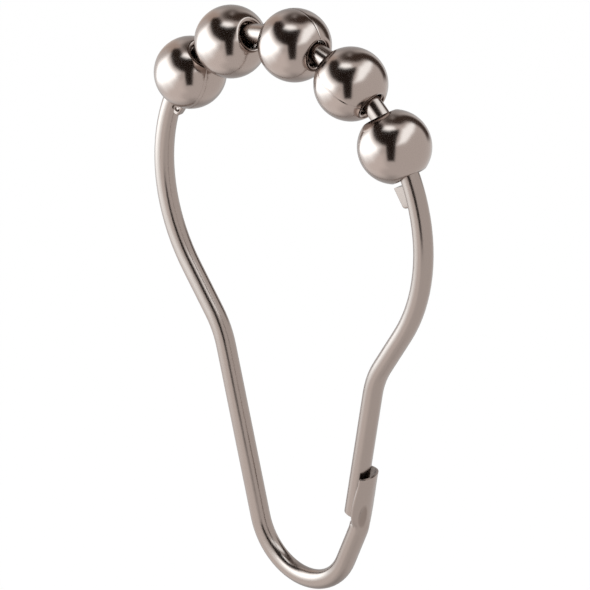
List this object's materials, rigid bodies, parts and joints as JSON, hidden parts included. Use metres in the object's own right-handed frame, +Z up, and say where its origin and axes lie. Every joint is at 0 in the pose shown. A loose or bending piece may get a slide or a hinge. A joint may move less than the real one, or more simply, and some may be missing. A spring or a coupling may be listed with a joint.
{
  "type": "shower curtain hook",
  "caption": "Bulb-shaped sprung wire hook whose top arc carries hollow rolling balls and whose free end snaps into a cupped latch on the wire's lower end.",
  "frame": {"origin": "the rod seat: the highest point of the circle that touches the undersides of the balls, where the hook rests on a curtain rod", "axes": "+X across the hook towards the latch side, +Y along the curtain rod, +Z up as the hook hangs"},
  "size_m": [0.0486, 0.0094, 0.0812],
  "materials": {
    "satin_wire": "warm nickel plate on drawn steel wire, satin, faint draw lines along the wire",
    "polished_ball": "warm nickel plate, mirror polished, on rolled sheet shells"
  },
  "bodies": {
    "hook": {"hook_wire": "satin_wire"},
    "ball_1_body": {"ball_1": "polished_ball"},
    "ball_2_body": {"ball_2": "polished_ball"},
    "ball_3_body": {"ball_3": "polished_ball"},
    "ball_4_body": {"ball_4": "polished_ball"},
    "ball_5_body": {"ball_5": "polished_ball"}
  },
  "joints": [
    {"name": "ball_1_roll", "type": "hinge", "parent": "hook", "child": "ball_1_body", "pos_m": [-0.01732, 0, -0.00339], "axis": [0.6384, 0, 0.7697], "continuous": true},
    {"name": "ball_2_roll", "type": "hinge", "parent": "hook", "child": "ball_2_body", "pos_m": [-0.00962, 0, 0.00259], "axis": [0.9041, 0, 0.4274], "continuous": true},
    {"name": "ball_3_roll", "type": "hinge", "parent": "hook", "child": "ball_3_body", "pos_m": [0.00179, 0, 0.00468], "axis": [0.9968, 0, -0.0797], "continuous": true},
    {"name": "ball_4_roll", "type": "hinge", "parent": "hook", "child": "ball_4_body", "pos_m": [0.01142, 0, 0.00163], "axis": [0.8615, 0, -0.5077], "continuous": true},
    {"name": "ball_5_roll", "type": "hinge", "parent": "hook", "child": "ball_5_body", "pos_m": [0.01864, 0, -0.00515], "axis": [0.5602, 0, -0.8284], "continuous": true}
  ]
}
